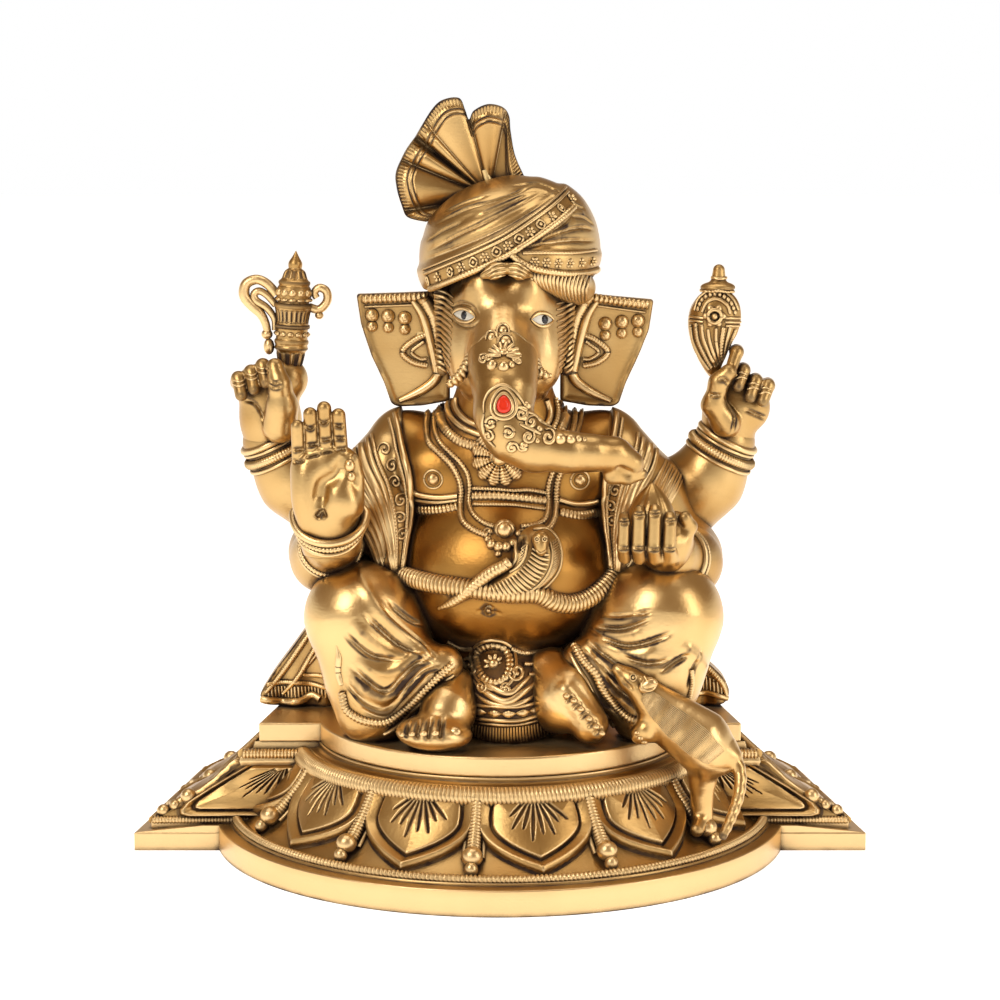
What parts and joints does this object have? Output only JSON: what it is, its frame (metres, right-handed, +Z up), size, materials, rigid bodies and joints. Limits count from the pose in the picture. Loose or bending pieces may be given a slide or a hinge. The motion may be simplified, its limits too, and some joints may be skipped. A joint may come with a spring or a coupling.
{
  "type": "ganesha idol",
  "caption": "Cast brass idol of a seated elephant-headed figure in a turban on a round lotus base with side arms, and a mouse climbing to its knee.",
  "frame": {"origin": "centre of the round part of the base, on the surface that the idol stands on", "axes": "+X to the viewer's right as the figure faces the viewer, +Y away from the viewer, +Z up"},
  "size_m": [0.318, 0.25, 0.3255],
  "materials": {
    "base_brass": "polished, with dark antique patina in the hollows",
    "figure_brass": "hand polished, with dark antique patina in the hollows",
    "ornament_brass": "chased and wire brushed, with dark antique patina",
    "brass_rod": "drawn, unfinished",
    "steel": "plain machine screws",
    "eye_white": "silvery white enamel",
    "eye_black": "black enamel",
    "red_stone": "polished red glass stone"
  },
  "bodies": {
    "root": {"lotus_base": "base_brass", "seat_plate": "base_brass", "torso": "figure_brass", "snake_belt": "ornament_brass", "right_leg": "figure_brass", "left_leg": "figure_brass", "right_foot": "figure_brass", "left_foot": "figure_brass", "lower_right_arm": "figure_brass", "lower_left_arm": "figure_brass", "upper_right_arm": "figure_brass", "upper_left_arm": "figure_brass", "raised_palm_hand": "figure_brass", "giving_hand": "figure_brass", "modak": "figure_brass", "upper_right_hand": "figure_brass", "upper_left_hand": "figure_brass", "goad": "ornament_brass", "conch": "ornament_brass", "head": "figure_brass", "trunk": "figure_brass", "right_ear": "figure_brass", "left_ear": "figure_brass", "right_tusk": "figure_brass", "left_tusk": "figure_brass", "turban": "figure_brass", "turban_plume": "figure_brass", "right_shawl_end": "ornament_brass", "left_shawl_end": "ornament_brass", "mouse": "ornament_brass", "eye_whites": "eye_white", "eye_pupils": "eye_black", "trunk_jewel": "red_stone", "limb_dowels": "brass_rod", "hand_dowels": "brass_rod", "small_dowels": "brass_rod", "neck_spigot": "brass_rod", "seat_screws": "steel", "figure_bolts": "steel", "mouse_bolt": "steel"}
  },
  "joints": []
}
